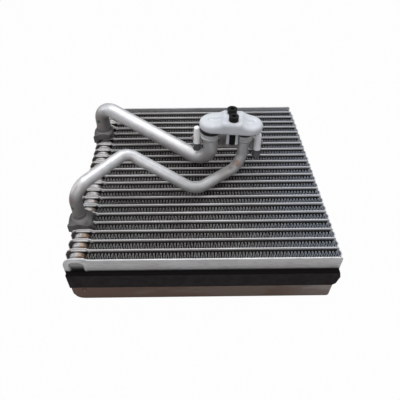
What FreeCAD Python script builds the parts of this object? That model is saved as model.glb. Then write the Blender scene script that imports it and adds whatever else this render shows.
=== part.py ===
import FreeCAD, Part
import math
import os

# Automotive evaporator core of stacked pressed plates, lying flat.
# Millimetres. +X runs from the tank end to the turn end, +Y through the stack from the
# foam-strip side to the pipe side, +Z up. The origin is the middle of the core's underside.

# Core
CORE_LENGTH = 248.0
CORE_DEPTH = 60.0
TUBE_COUNT = 21
TUBE_PITCH = 11.4
SHEET = 0.6
TUBE_THICKNESS = 3.2
END_PLATE_THICKNESS = 1.6
RIM_HEIGHT = 1.8
SHOULDER_HEIGHT = 1.2
RIM_CORNER_RADIUS = 10.0
TURN_CORNER_RADIUS = 2.5
CHANNEL_END_MARGIN = 2.6

# Raised land along the upper rim of every plate at the tank end
LAND_RISE = 2.0
LAND_LENGTH = 20.0
LAND_SLOPE = 2.4
LAND_RIM = 0.8

# Drawn cups that join the tubes into an upper and a lower tank
CUP_WIDTH = 15.0
CUP_HEIGHT = 25.0
CUP_CORNER_RADIUS = 6.5
CUP_INSET_X = 11.9
CUP_INSET_Z = 14.5
CUP_DISH_DEPTH = 1.6
CUP_DISH_RIM = 1.3
CUP_DIMPLE_DIAMETER = 5.0

# Corrugated fins between the tubes
FIN_FOLDS = 102
FIN_SHEET = 0.25
FIN_RECESS = 3.4
FIN_TANK_MARGIN = 0.8
FIN_TURN_MARGIN = 1.4

# Spacer lips bent over at the turn end of every tube
LIP_REACH = 6.4
LIP_OUTWARD = 1.9
LIP_EDGE_MARGIN = 4.0

# Refrigerant pipes
SUCTION_OUTER = 16.0
SUCTION_WALL = 1.25
LIQUID_OUTER = 11.6
LIQUID_WALL = 1.1
SUCTION_TUBE_INDEX = 16.5
LIQUID_TUBE_INDEX = 3.95
SUCTION_FOOT_INSET = 11.2
LIQUID_FOOT_INSET = 9.8
SUCTION_RISE = 42.0
SUCTION_TOP_BEND = 15.0
SUCTION_LOW_BEND = 17.0
SUCTION_CORE_GAP = 1.2
LIQUID_RISE = 39.6
LIQUID_TOP_X = -71.2
LIQUID_TOP_Y = -33.1
LIQUID_TOP_RISE = 46.9
LIQUID_LOW_X = -5.0
LIQUID_LOW_Y = -46.5
LIQUID_LOW_RISE = 9.2
LIQUID_BENDS = (17.0, 14.0, 22.0, 18.0)
LIQUID_PORT_DROP = 31.1

# Saddle collars that seat the pipes on the tank
COLLAR_WIDTH = 21.2
COLLAR_LENGTH = 20.5
COLLAR_INSET = 10.2
COLLAR_CORNER_RADIUS = 4.5
COLLAR_SKIRT = 10.0
COLLAR_HEIGHT = 8.5
COLLAR_WALL = 1.2
COLLAR_FLARE = 1.1
COLLAR_SLEEVE_HEIGHT = 12.0
COLLAR_SLEEVE_WALL = 0.6
COLLAR_TAB_THICKNESS = 1.2
COLLAR_TAB_WIDTH = 3.2
COLLAR_TAB_SPACING = 7.0
COLLAR_TAB_DROP = 6.0
COLLAR_HOOK_WIDTH = 5.0
COLLAR_HOOK_GAP = 0.6

# Port group at the top of the pipes
PORT_CENTRE_X = 28.7
PORT_CENTRE_Y = 0.35
PORT_SPACING = 34.6
PORT_TURN = -7.5
PORT_RISE = 37.6
PLATE_THICKNESS = 2.2
PLATE_HALF_DEPTH = 11.6
PLATE_BODY_LENGTH = 55.0
PLATE_CORNER_RADIUS = 3.0
EAR_WALL = 1.6
SLOT_CLEARANCE = 0.2
BEAD_HEIGHT = 9.0
BEAD_STEP = 2.6
BEAD_FOOT_STEP = 0.7
BEAD_FLARE_HEIGHT = 2.6
BEAD_EDGE_HEIGHT = 1.8
BEAD_CREASE_DEPTH = 1.1
BEAD_CREASE_HEIGHT = 0.5
BEAD_NECK_STEP = 0.4
SPIGOT_HEIGHT = 8.0
SPIGOT_STEP = 0.7
GROOVE_DEPTH = 1.0
RING_HEIGHT = 4.3
RING_SECTION = 2.8
RING_CLEARANCE = 0.1

# Shipping cap over the two ports
CAP_LENGTH = 64.0
CAP_WIDTH = 28.5
CAP_OFFSET = 2.8
CAP_RISE = 13.8
CAP_END_HEIGHT = 8.8
CAP_HUB_FOOT_HEIGHT = 9.8
CAP_CENTRE_HEIGHT = 13.8
CAP_RIDGE_WIDTH = 12.0
CAP_HUB_SLOPE_LENGTH = 8.0
CAP_WALL = 0.7
CAP_EDGE_FILLET = 4.2
CAP_FOOT_FILLET = 3.0
CAP_PORT_CLEARANCE = 0.3
CAP_POCKET_LENGTH = 16.0
CAP_POCKET_WIDTH = 5.5
CAP_POCKET_DEPTH = 1.8
CAP_POCKET_OFFSET = 15.5
CAP_LEG_WIDTH = 3.0
CAP_LEG_DEPTH = 3.6

# Fasteners
SCREW_SPACING = 13.6
SCREW_OFFSET = 4.2
SCREW_STAGGER = 2.2
SCREW_DIAMETER = 5.6
SCREW_HEAD_DIAMETER = 9.8
SCREW_HEAD_HEIGHT = 4.8
SCREW_SOCKET_WIDTH = 4.2
SCREW_SOCKET_DEPTH = 2.8
SCREW_CLEARANCE = 0.15
STUD_DIAMETER = 4.4
STUD_HEX_WIDTH = 8.0
STUD_HEX_HEIGHT = 8.4
STUD_BEAD_GAP = 0.25
STUD_TIP_GAP = 2.4
RIGHT_STUD_DROP = 3.2
PROTECTOR_DIAMETER = 7.7
PROTECTOR_TOP_DIAMETER = 6.1
PROTECTOR_ABOVE = 12.4
PROTECTOR_BELOW = 6.4
PROTECTOR_DOME = 0.6

# Foam sealing strip on the front end plate
FOAM_HEIGHT = 20.0
FOAM_THICKNESS = 5.0
FOAM_BOTTOM = 24.8
FOAM_START = 1.5
FOAM_END_OVERHANG = 1.2
FOAM_TOP_TAPER = 1.8
FOAM_LOW_TAPER = 6.0

X_TANK = -CORE_LENGTH / 2
X_TURN = CORE_LENGTH / 2
STACK_PITCHES = TUBE_COUNT + 1
Y_FRONT = -STACK_PITCHES * TUBE_PITCH / 2
CUP_X = X_TANK + CUP_INSET_X
CUP_HEIGHTS = (CUP_INSET_Z, CORE_DEPTH - CUP_INSET_Z)
LAND_END = X_TANK + LAND_LENGTH
LAND_TOP = CORE_DEPTH + LAND_RISE
FIN_START = CUP_X + CUP_WIDTH / 2 + FIN_TANK_MARGIN
FIN_END = X_TURN - FIN_TURN_MARGIN
PLATE_TOP = CORE_DEPTH + PORT_RISE
PLATE_BOTTOM = PLATE_TOP - PLATE_THICKNESS
BEAD_TOP = PLATE_TOP + BEAD_HEIGHT
SPIGOT_TOP = BEAD_TOP + SPIGOT_HEIGHT
CAP_BOTTOM = PLATE_TOP + CAP_RISE
CAP_RIDGE = CAP_BOTTOM + CAP_CENTRE_HEIGHT
PROTECTOR_BOTTOM = PLATE_TOP - PROTECTOR_BELOW
PROTECTOR_MIDDLE_RADIUS = (PROTECTOR_DIAMETER + PROTECTOR_TOP_DIAMETER) / 4
STUD_REACH = SUCTION_OUTER / 2 + BEAD_STEP + PROTECTOR_MIDDLE_RADIUS + STUD_BEAD_GAP
EAR_SPACING = PORT_SPACING + 2 * STUD_REACH
Z_AXIS = FreeCAD.Vector(0, 0, 1)


def vec(x, y, z):
    return FreeCAD.Vector(x, y, z)


def stack_y(index):
    """Y of a station in the stack: 0 is the front end plate, TUBE_COUNT + 1 the rear one."""
    return Y_FRONT + index * TUBE_PITCH


def save(shape, node):
    shape.exportStep("parts/" + node + ".step")


def face_from_edges(edges):
    return Part.Face(Part.Wire(edges))


def polygon_face(points):
    return Part.Face(Part.makePolygon(points + [points[0]]))


def rounded_rectangle(x_low, x_high, z_low, z_high, radii, y):
    """Face in the X-Z plane with a radius at each corner, in turn from the low left one."""
    corners = [vec(x_low, y, z_low), vec(x_high, y, z_low), vec(x_high, y, z_high), vec(x_low, y, z_high)]
    travel = [vec(1, 0, 0), vec(0, 0, 1), vec(-1, 0, 0), vec(0, 0, -1)]
    edges = []
    for i, corner in enumerate(corners):
        arriving = travel[i - 1]
        leaving = travel[i]
        entry = corner - arriving * radii[i]
        leave = corner + leaving * radii[i]
        if radii[i] > 0:
            middle = entry + leaving * radii[i] + (arriving - leaving) * (radii[i] * math.sqrt(0.5))
            edges.append(Part.Arc(entry, middle, leave).toShape())
        next_corner = corners[(i + 1) % 4]
        next_entry = next_corner - leaving * radii[(i + 1) % 4]
        edges.append(Part.LineSegment(leave, next_entry).toShape())
    return face_from_edges(edges)


def plate_outline(y):
    """Face of a pressed plate: round corners, and the raised land along its upper rim."""
    full = rounded_rectangle(X_TANK, X_TURN, 0, CORE_DEPTH,
                             (RIM_CORNER_RADIUS, TURN_CORNER_RADIUS, TURN_CORNER_RADIUS, 0), y)
    tank = rounded_rectangle(X_TANK, LAND_END, CORE_DEPTH / 2, LAND_TOP, (0, 0, 0, RIM_CORNER_RADIUS), y)
    slope = polygon_face([
        vec(LAND_END, y, CORE_DEPTH / 2),
        vec(LAND_END + LAND_SLOPE, y, CORE_DEPTH / 2),
        vec(LAND_END + LAND_SLOPE, y, CORE_DEPTH),
        vec(LAND_END, y, LAND_TOP),
    ])
    corner = Part.makeBox(LAND_LENGTH, 1, LAND_TOP, vec(X_TANK - LAND_LENGTH / 2, y - 0.5, CORE_DEPTH / 2))
    return full.cut(corner).fuse([tank, slope]).removeSplitter()


def channel(y):
    """The raised middle of a brazed plate pair, with sloping shoulders along both rims."""
    x_start = LAND_END - LAND_SLOPE
    length = X_TURN - CHANNEL_END_MARGIN - x_start
    outer = TUBE_THICKNESS / 2
    inner = SHEET
    low = RIM_HEIGHT
    high = CORE_DEPTH - RIM_HEIGHT
    section = polygon_face([
        vec(x_start, y - inner, low),
        vec(x_start, y + inner, low),
        vec(x_start, y + outer, low + SHOULDER_HEIGHT),
        vec(x_start, y + outer, high - SHOULDER_HEIGHT),
        vec(x_start, y + inner, high),
        vec(x_start, y - inner, high),
        vec(x_start, y - outer, high - SHOULDER_HEIGHT),
        vec(x_start, y - outer, low + SHOULDER_HEIGHT),
    ])
    return section.extrude(vec(length, 0, 0))


def tank_body(y):
    """Full thickness of a plate pair at the tank end, up to just inside its rim."""
    radius = RIM_CORNER_RADIUS - LAND_RIM
    face = rounded_rectangle(X_TANK + LAND_RIM, LAND_END, LAND_RIM, LAND_TOP - LAND_RIM,
                             (radius, 0, 0, radius), y - TUBE_THICKNESS / 2)
    return face.extrude(vec(0, TUBE_THICKNESS, 0))


def cup(y, z, depth, shrink=0.0):
    """Drawn cup with rounded corners that runs from a plate at y for a signed depth."""
    half_width = CUP_WIDTH / 2 - shrink
    half_height = CUP_HEIGHT / 2 - shrink
    radius = CUP_CORNER_RADIUS - shrink
    face = rounded_rectangle(CUP_X - half_width, CUP_X + half_width, z - half_height, z + half_height,
                             (radius, radius, radius, radius), y)
    return face.extrude(vec(0, depth, 0))


def spacer_lip(y):
    """Strip that curls outward and forward at the turn end, to keep the tubes at their pitch."""
    half = SHEET
    root = X_TURN - half
    bulge = X_TURN + LIP_OUTWARD
    tip = y - LIP_REACH
    mid = y - LIP_REACH / 2
    face = face_from_edges([
        Part.Arc(vec(X_TURN, y + half, 0), vec(bulge, mid, 0), vec(X_TURN, tip, 0)).toShape(),
        Part.LineSegment(vec(X_TURN, tip, 0), vec(root, tip + half, 0)).toShape(),
        Part.Arc(vec(root, tip + half, 0), vec(bulge - 2 * half, mid, 0), vec(root, y - half, 0)).toShape(),
        Part.LineSegment(vec(root, y - half, 0), vec(X_TURN - 2 * half, y + half, 0)).toShape(),
        Part.LineSegment(vec(X_TURN - 2 * half, y + half, 0), vec(X_TURN, y + half, 0)).toShape(),
    ])
    face.translate(vec(0, 0, LIP_EDGE_MARGIN))
    return face.extrude(vec(0, 0, CORE_DEPTH - 2 * LIP_EDGE_MARGIN))


def tube(index):
    """Brazed pair of pressed plates: rim, raised channel, tank end, cups and spacer lip."""
    y = stack_y(index)
    rim = plate_outline(y - SHEET).extrude(vec(0, 2 * SHEET, 0))
    cups = [cup(y - TUBE_PITCH / 2, z, TUBE_PITCH) for z in CUP_HEIGHTS]
    return rim.fuse([channel(y), tank_body(y), spacer_lip(y)] + cups).removeSplitter()


def end_plate(index, inward):
    """Flat closing plate with a dished upper cup and a dimple at the lower one."""
    y = stack_y(index)
    half = END_PLATE_THICKNESS / 2
    plate = plate_outline(y - half).extrude(vec(0, END_PLATE_THICKNESS, 0))
    low, high = CUP_HEIGHTS
    cups = [cup(y, z, inward * TUBE_PITCH / 2) for z in CUP_HEIGHTS]
    face = y - inward * half
    depth = inward * (END_PLATE_THICKNESS + CUP_DISH_DEPTH)
    dish = cup(face, high, depth, CUP_DISH_RIM)
    dimple = Part.makeCylinder(CUP_DIMPLE_DIAMETER / 2, CUP_DISH_DEPTH, vec(CUP_X, face, low),
                               vec(0, inward, 0))
    return plate.fuse(cups).cut([dish, dimple]).removeSplitter()


def fin(index):
    """Corrugated sheet that zigzags between the walls on both sides of a gap."""
    front_half = END_PLATE_THICKNESS / 2 if index == 0 else TUBE_THICKNESS / 2
    back_half = END_PLATE_THICKNESS / 2 if index == TUBE_COUNT else TUBE_THICKNESS / 2
    front = stack_y(index) + front_half
    back = stack_y(index + 1) - back_half
    step = (FIN_END - FIN_START) / FIN_FOLDS
    slant = math.atan2(step, back - front)
    sheet_y = FIN_SHEET / math.sin(slant)
    z = FIN_RECESS
    lower = []
    upper = []
    for fold in range(FIN_FOLDS + 1):
        x = FIN_START + fold * step
        crest = front if fold % 2 == 0 else back - sheet_y
        lower.append(vec(x, crest, z))
        upper.append(vec(x, crest + sheet_y, z))
    section = polygon_face(lower + upper[::-1])
    return section.extrude(vec(0, 0, CORE_DEPTH - 2 * FIN_RECESS))


def bend_path(points, radii):
    """Straight runs between the points, joined by tangent arcs of the given radii."""
    stations = [("start", points[0])]
    for i, radius in enumerate(radii):
        before, corner, after = points[i], points[i + 1], points[i + 2]
        to_before = (before - corner).normalize()
        to_after = (after - corner).normalize()
        half_angle = to_before.getAngle(to_after) / 2
        reach = radius / math.tan(half_angle)
        bisector = (to_before + to_after).normalize()
        centre = corner + bisector * (radius / math.sin(half_angle))
        stations.append((centre, corner + to_before * reach, corner + to_after * reach))
    return stations[1:]


def round_sweep(points, radii, radius):
    """Round bar along straight runs and true circular bends."""
    pieces = []
    start = points[0]
    for centre, entry, leave in bend_path(points, radii):
        run = entry - start
        pieces.append(Part.makeCylinder(radius, run.Length, start, run))
        axis = (entry - centre).cross(leave - centre)
        turn = math.degrees((entry - centre).getAngle(leave - centre))
        disc = Part.Face(Part.Wire(Part.makeCircle(radius, entry, run)))
        pieces.append(disc.revolve(centre, axis, turn))
        start = leave
    run = points[-1] - start
    pieces.append(Part.makeCylinder(radius, run.Length, start, run))
    return pieces[0].fuse(pieces[1:])


def local(a, b, z):
    """Point in the port group's own frame: a along the group, b across it."""
    turn = math.radians(PORT_TURN)
    x = PORT_CENTRE_X + a * math.cos(turn) - b * math.sin(turn)
    y = PORT_CENTRE_Y + a * math.sin(turn) + b * math.cos(turn)
    return vec(x, y, z)


def place_in_group(shape):
    """Move a shape that was drawn about Z at the origin into the port group's frame."""
    shape.rotate(vec(0, 0, 0), Z_AXIS, PORT_TURN)
    shape.translate(vec(PORT_CENTRE_X, PORT_CENTRE_Y, 0))
    return shape


def port_end(base, pipe_radius):
    """Upset bead over the retaining plate, and the spigot with its seal groove."""
    bead = pipe_radius + BEAD_STEP
    neck = bead - BEAD_NECK_STEP
    spigot = pipe_radius + SPIGOT_STEP
    seat = spigot - GROOVE_DEPTH
    edge = base.z + BEAD_FLARE_HEIGHT
    crease = edge + BEAD_EDGE_HEIGHT
    top = base.z + BEAD_HEIGHT
    profile = [
        (0, base.z), (pipe_radius + BEAD_FOOT_STEP, base.z), (bead, edge), (bead, crease),
        (bead - BEAD_CREASE_DEPTH, crease + BEAD_CREASE_HEIGHT), (neck, crease + 2 * BEAD_CREASE_HEIGHT),
        (neck, top), (seat, top), (seat, top + RING_HEIGHT), (spigot, top + RING_HEIGHT),
        (spigot, top + SPIGOT_HEIGHT), (0, top + SPIGOT_HEIGHT),
    ]
    section = polygon_face([vec(radius, 0, height) for radius, height in profile])
    solid = section.revolve(vec(0, 0, 0), Z_AXIS, 360)
    solid.translate(vec(base.x, base.y, 0))
    return solid


def refrigerant_pipe(points, radii, outer, wall):
    """Bent pipe with its port bead, bored right through."""
    top = points[-1]
    body = round_sweep(points, radii, outer / 2)
    seat = vec(top.x, top.y, PLATE_TOP)
    body = body.fuse(port_end(seat, outer / 2))
    bore_points = points[:-1] + [vec(top.x, top.y, SPIGOT_TOP)]
    bore = round_sweep(bore_points, radii, outer / 2 - wall)
    return body.cut(bore).removeSplitter()


def suction_route():
    foot = vec(X_TANK + SUCTION_FOOT_INSET, stack_y(SUCTION_TUBE_INDEX), LAND_TOP)
    corner = foot + Z_AXIS * SUCTION_RISE
    port = local(-PORT_SPACING / 2, 0, PLATE_TOP)
    level = port - vec(corner.x, corner.y, port.z)
    lowest = CORE_DEPTH + SUCTION_CORE_GAP + SUCTION_OUTER / 2
    drop = corner.z - lowest
    slope = math.atan2(drop, level.Length)
    for _ in range(20):
        sag = SUCTION_LOW_BEND * (math.tan(slope) + 1 / math.cos(slope) - 1)
        slope = math.atan2(corner.z - lowest + sag, level.Length)
    knee = vec(port.x, port.y, lowest - sag)
    return [foot, corner, knee, port], [SUCTION_TOP_BEND, SUCTION_LOW_BEND]


def liquid_route():
    foot = vec(X_TANK + LIQUID_FOOT_INSET, stack_y(LIQUID_TUBE_INDEX), LAND_TOP)
    corner = foot + Z_AXIS * LIQUID_RISE
    port = local(PORT_SPACING / 2, 0, PLATE_TOP)
    knee = vec(port.x, port.y, PLATE_TOP - LIQUID_PORT_DROP)
    crest = vec(LIQUID_TOP_X, LIQUID_TOP_Y, CORE_DEPTH + LIQUID_TOP_RISE)
    low = vec(LIQUID_LOW_X, LIQUID_LOW_Y, CORE_DEPTH + LIQUID_LOW_RISE)
    points = [foot, corner, crest, low, knee, port]
    return points, list(LIQUID_BENDS)


def saddle_collar(foot, outer):
    """Flared collar moulded to the rims under it and round their corner, with crimped tabs."""
    left = X_TANK + COLLAR_INSET - COLLAR_WIDTH / 2
    front = foot.y - COLLAR_LENGTH / 2
    bottom = LAND_TOP - COLLAR_SKIRT
    block = Part.makeBox(COLLAR_WIDTH, COLLAR_LENGTH, COLLAR_SKIRT + COLLAR_HEIGHT, vec(left, front, bottom))
    upright = [edge for edge in block.Edges if abs(edge.tangentAt(edge.FirstParameter).z) > 0.5]
    block = block.makeFillet(COLLAR_CORNER_RADIUS, upright)
    top_radius = outer / 2 + COLLAR_WALL
    height = COLLAR_SKIRT + COLLAR_HEIGHT
    flare = Part.makeCone(top_radius + height * COLLAR_FLARE, top_radius, height, vec(foot.x, foot.y, bottom))
    sleeve = Part.makeCylinder(outer / 2 + COLLAR_SLEEVE_WALL, COLLAR_SLEEVE_HEIGHT, foot)
    pieces = [sleeve]
    for step in (-1, 0, 1):
        y = foot.y + step * COLLAR_TAB_SPACING - COLLAR_TAB_WIDTH / 2
        pieces.append(Part.makeBox(2 * COLLAR_TAB_THICKNESS, COLLAR_TAB_WIDTH, COLLAR_TAB_DROP + LAND_RISE,
                                   vec(left - COLLAR_TAB_THICKNESS, y, LAND_TOP - COLLAR_TAB_DROP)))
    collar = block.common(flare).fuse(pieces)
    rims = plate_outline(front - COLLAR_LENGTH).extrude(vec(0, 3 * COLLAR_LENGTH, 0))
    collar = collar.cut(rims)
    hook_top = LAND_TOP + LAND_RISE
    hook_bottom = CORE_DEPTH - FIN_RECESS + COLLAR_HOOK_GAP
    hook_x = left + COLLAR_WIDTH - COLLAR_TAB_THICKNESS / 2
    hooks = []
    for gap in range(STACK_PITCHES):
        offset = stack_y(gap + 0.5) - foot.y
        if abs(offset) < (COLLAR_LENGTH - COLLAR_HOOK_WIDTH) / 2:
            y = foot.y + offset - COLLAR_HOOK_WIDTH / 2
            hooks.append(Part.makeBox(COLLAR_TAB_THICKNESS, COLLAR_HOOK_WIDTH, hook_top - hook_bottom,
                                      vec(hook_x, y, hook_bottom)))
    bore = Part.makeCylinder(outer / 2, COLLAR_SLEEVE_HEIGHT, foot)
    return collar.fuse(hooks).cut(bore).removeSplitter()


def stadium(length, width, z, height, a=0.0, b=0.0):
    """Upright prism with round ends, drawn about the group's own axes."""
    half = length / 2 - width / 2
    prism = Part.makeBox(2 * half, width, height, vec(a - half, b - width / 2, z))
    ends = [Part.makeCylinder(width / 2, height, vec(a + side * half, b, z)) for side in (-1, 1)]
    return prism.fuse(ends).removeSplitter()


def open_slot(a, radius):
    """Slot through the retaining plate, round at the back and open to the front."""
    round_end = Part.makeCylinder(radius, PLATE_THICKNESS, vec(a, 0, PLATE_BOTTOM))
    mouth = Part.makeBox(2 * radius, 2 * PLATE_HALF_DEPTH, PLATE_THICKNESS,
                         vec(a - radius, -2 * PLATE_HALF_DEPTH, PLATE_BOTTOM))
    return round_end.fuse(mouth)


def screw_place(side):
    """Place of a cap screw in the group's own frame."""
    return vec(SCREW_OFFSET - side * SCREW_STAGGER / 2, side * SCREW_SPACING / 2, 0)


def retaining_plate():
    """Plate slid on from behind, over both pipes below their beads and over both studs."""
    body = Part.makeBox(PLATE_BODY_LENGTH, 2 * PLATE_HALF_DEPTH, PLATE_THICKNESS,
                        vec(-PLATE_BODY_LENGTH / 2, -PLATE_HALF_DEPTH, PLATE_BOTTOM))
    upright = [edge for edge in body.Edges if abs(edge.tangentAt(edge.FirstParameter).z) > 0.5]
    body = body.makeFillet(PLATE_CORNER_RADIUS, upright)
    stud_slot = PROTECTOR_DIAMETER / 2 + SLOT_CLEARANCE
    ear_radius = stud_slot + EAR_WALL
    arm = Part.makeBox(EAR_SPACING, 2 * ear_radius, PLATE_THICKNESS,
                       vec(-EAR_SPACING / 2, -ear_radius, PLATE_BOTTOM))
    ears = [Part.makeCylinder(ear_radius, PLATE_THICKNESS, vec(side * EAR_SPACING / 2, 0, PLATE_BOTTOM))
            for side in (-1, 1)]
    cuts = []
    for side in (-1, 1):
        outer = SUCTION_OUTER if side < 0 else LIQUID_OUTER
        cuts.append(open_slot(side * EAR_SPACING / 2, stud_slot))
        cuts.append(open_slot(side * PORT_SPACING / 2, outer / 2 + SLOT_CLEARANCE))
        screw = screw_place(side) + vec(0, 0, PLATE_BOTTOM)
        cuts.append(Part.makeCylinder(SCREW_DIAMETER / 2, PLATE_THICKNESS, screw))
    return place_in_group(body.fuse([arm] + ears).cut(cuts).removeSplitter())


def seal_ring(side, outer):
    """Seal in the groove of a port's spigot."""
    inner = outer / 2 + SPIGOT_STEP - GROOVE_DEPTH + RING_CLEARANCE
    centre = vec(side * PORT_SPACING / 2, 0, BEAD_TOP)
    height = RING_HEIGHT - RING_CLEARANCE
    ring = Part.makeCylinder(inner + RING_SECTION, height, centre)
    ring = ring.cut(Part.makeCylinder(inner, height, centre))
    return place_in_group(ring)


def cap_rim_edges(body):
    """Edges where the cap's upright wall meets its top or its underside."""
    straight = (CAP_LENGTH - CAP_WIDTH) / 2
    edges = []
    for edge in body.Edges:
        middle = (edge.FirstParameter + edge.LastParameter) / 2
        point = edge.valueAt(middle)
        along = max(0.0, abs(point.x - CAP_OFFSET) - straight)
        on_wall = abs(math.hypot(along, point.y) - CAP_WIDTH / 2) < CAP_WIDTH / 1000
        if on_wall and abs(edge.tangentAt(middle).z) < 0.9:
            edges.append(edge)
    return edges


def hub_slope(side):
    """Smooth rise of the cap's top from a lobe to the hub, on one side of the screws."""
    ridge = vec(SCREW_OFFSET + side * (CAP_RIDGE_WIDTH + SCREW_STAGGER) / 2, -CAP_WIDTH, CAP_RIDGE)
    foot = vec(ridge.x + side * CAP_HUB_SLOPE_LENGTH, -CAP_WIDTH, CAP_BOTTOM + CAP_HUB_FOOT_HEIGHT)
    end = vec(CAP_OFFSET + side * CAP_LENGTH / 2, -CAP_WIDTH, CAP_BOTTOM + CAP_END_HEIGHT)
    pull = CAP_HUB_SLOPE_LENGTH / 2
    lobe = (foot - end).normalize()
    curve = Part.BezierCurve()
    curve.setPoles([foot, foot + lobe * pull, ridge + vec(side * pull, 0, 0), ridge])
    return end, foot, ridge, curve.toShape()


def cap_side_face():
    """Side view of the cap: two lobes and the hub between them."""
    left_end, left_foot, left_ridge, left_curve = hub_slope(-1)
    right_end, right_foot, right_ridge, right_curve = hub_slope(1)
    left_bottom = vec(left_end.x, left_end.y, CAP_BOTTOM)
    right_bottom = vec(right_end.x, right_end.y, CAP_BOTTOM)
    return face_from_edges([
        Part.LineSegment(left_bottom, left_end).toShape(),
        Part.LineSegment(left_end, left_foot).toShape(),
        left_curve,
        Part.LineSegment(left_ridge, right_ridge).toShape(),
        right_curve,
        Part.LineSegment(right_foot, right_end).toShape(),
        Part.LineSegment(right_end, right_bottom).toShape(),
        Part.LineSegment(right_bottom, left_bottom).toShape(),
    ])


def shipping_cap():
    """Moulded cap with a hub for the two screws, hollow below, on a pair of legs."""
    whole = cap_side_face().extrude(vec(0, 2 * CAP_WIDTH, 0))
    body = whole.common(stadium(CAP_LENGTH, CAP_WIDTH, CAP_BOTTOM, CAP_CENTRE_HEIGHT, CAP_OFFSET))
    middle_height = CAP_BOTTOM + CAP_END_HEIGHT / 2
    top_edges = [edge for edge in cap_rim_edges(body) if edge.CenterOfMass.z > middle_height]
    body = body.makeFillet(CAP_EDGE_FILLET, top_edges)
    foot_edges = [edge for edge in cap_rim_edges(body) if edge.CenterOfMass.z < middle_height]
    body = body.makeFillet(CAP_FOOT_FILLET, foot_edges)
    pocket_floor = whole.copy()
    pocket_floor.translate(vec(0, 0, -CAP_POCKET_DEPTH))
    cavity_height = SPIGOT_TOP - CAP_BOTTOM + CAP_WALL
    cuts = []
    legs = []
    for side in (-1, 1):
        outer = SUCTION_OUTER if side < 0 else LIQUID_OUTER
        radius = outer / 2 + SPIGOT_STEP + CAP_PORT_CLEARANCE
        cuts.append(Part.makeCylinder(radius, cavity_height, vec(side * PORT_SPACING / 2, 0, CAP_BOTTOM)))
        place = CAP_OFFSET + side * CAP_POCKET_OFFSET
        pocket = stadium(CAP_POCKET_LENGTH, CAP_POCKET_WIDTH, CAP_BOTTOM, CAP_CENTRE_HEIGHT, place)
        cuts.append(pocket.cut(pocket_floor))
        screw = screw_place(side) + vec(0, 0, PLATE_TOP)
        inner = SCREW_DIAMETER / 2 + SCREW_CLEARANCE
        cuts.append(Part.makeCylinder(inner, CAP_RIDGE - PLATE_TOP, screw))
        front_screw = screw_place(-1)
        a = front_screw.x + side * (inner + CAP_LEG_WIDTH / 2) - CAP_LEG_WIDTH / 2
        b = front_screw.y - inner
        leg_height = CAP_RISE + CAP_FOOT_FILLET
        legs.append(Part.makeBox(CAP_LEG_WIDTH, CAP_LEG_DEPTH, leg_height, vec(a, b, PLATE_TOP)))
    return place_in_group(body.fuse(legs).cut(cuts).removeSplitter())


def hexagon(width, z, height):
    """Hexagonal prism about the origin, measured across its flats."""
    corner = width / math.sqrt(3)
    points = [
        vec(corner * math.cos(math.radians(60 * i)), corner * math.sin(math.radians(60 * i)), z)
        for i in range(6)
    ]
    return polygon_face(points).extrude(vec(0, 0, height))


def cap_screw(side):
    """Socket-head screw that holds the cap down on the retaining plate."""
    length = CAP_RIDGE - PLATE_BOTTOM
    shank = Part.makeCylinder(SCREW_DIAMETER / 2, length, vec(0, 0, PLATE_BOTTOM))
    head = Part.makeCylinder(SCREW_HEAD_DIAMETER / 2, SCREW_HEAD_HEIGHT, vec(0, 0, CAP_RIDGE))
    socket_floor = CAP_RIDGE + SCREW_HEAD_HEIGHT - SCREW_SOCKET_DEPTH
    screw = shank.fuse(head).cut(hexagon(SCREW_SOCKET_WIDTH, socket_floor, SCREW_SOCKET_DEPTH))
    screw.translate(screw_place(side))
    return place_in_group(screw.removeSplitter())


def stud_place(side):
    """Place of a captive stud: the right one hangs a little lower in its slot."""
    drop = RIGHT_STUD_DROP if side > 0 else 0
    return vec(side * EAR_SPACING / 2, 0, PROTECTOR_BOTTOM - drop)


def end_stud(side):
    """Captive stud: its hexagon hangs below the plate's ear, its thread stands in the sleeve."""
    length = PROTECTOR_ABOVE + PROTECTOR_BELOW - STUD_TIP_GAP
    shank = Part.makeCylinder(STUD_DIAMETER / 2, length, vec(0, 0, 0))
    stud = shank.fuse(hexagon(STUD_HEX_WIDTH, -STUD_HEX_HEIGHT, STUD_HEX_HEIGHT)).removeSplitter()
    stud.translate(stud_place(side))
    return place_in_group(stud)


def thread_protector(side):
    """Push-on plastic sleeve, tapered towards its closed top."""
    radius = PROTECTOR_DIAMETER / 2
    length = PROTECTOR_ABOVE + PROTECTOR_BELOW
    top = PROTECTOR_TOP_DIAMETER / 2
    bore = STUD_DIAMETER / 2
    profile = [
        (bore, 0), (radius, 0), (top, length - PROTECTOR_DOME), (top - PROTECTOR_DOME, length), (0, length),
        (0, length - STUD_TIP_GAP), (bore, length - STUD_TIP_GAP),
    ]
    section = polygon_face([vec(r, 0, z) for r, z in profile])
    sleeve = section.revolve(vec(0, 0, 0), Z_AXIS, 360)
    sleeve.translate(stud_place(side))
    return place_in_group(sleeve)


def foam_strip():
    """Soft seal stuck across the front end plate, with its end trimmed past the turn edge."""
    front = Y_FRONT - END_PLATE_THICKNESS / 2 - FOAM_THICKNESS
    start = X_TANK + FOAM_START
    end = X_TURN + FOAM_END_OVERHANG
    low = FOAM_BOTTOM
    high = FOAM_BOTTOM + FOAM_HEIGHT
    outline = polygon_face([
        vec(start, front, low),
        vec(end - FOAM_LOW_TAPER, front, low),
        vec(end - FOAM_TOP_TAPER, front, low + FOAM_HEIGHT / 6),
        vec(end, front, low + 2 * FOAM_HEIGHT / 3),
        vec(end - FOAM_TOP_TAPER, front, high),
        vec(start, front, high),
    ])
    return outline.extrude(vec(0, FOAM_THICKNESS, 0))


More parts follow.
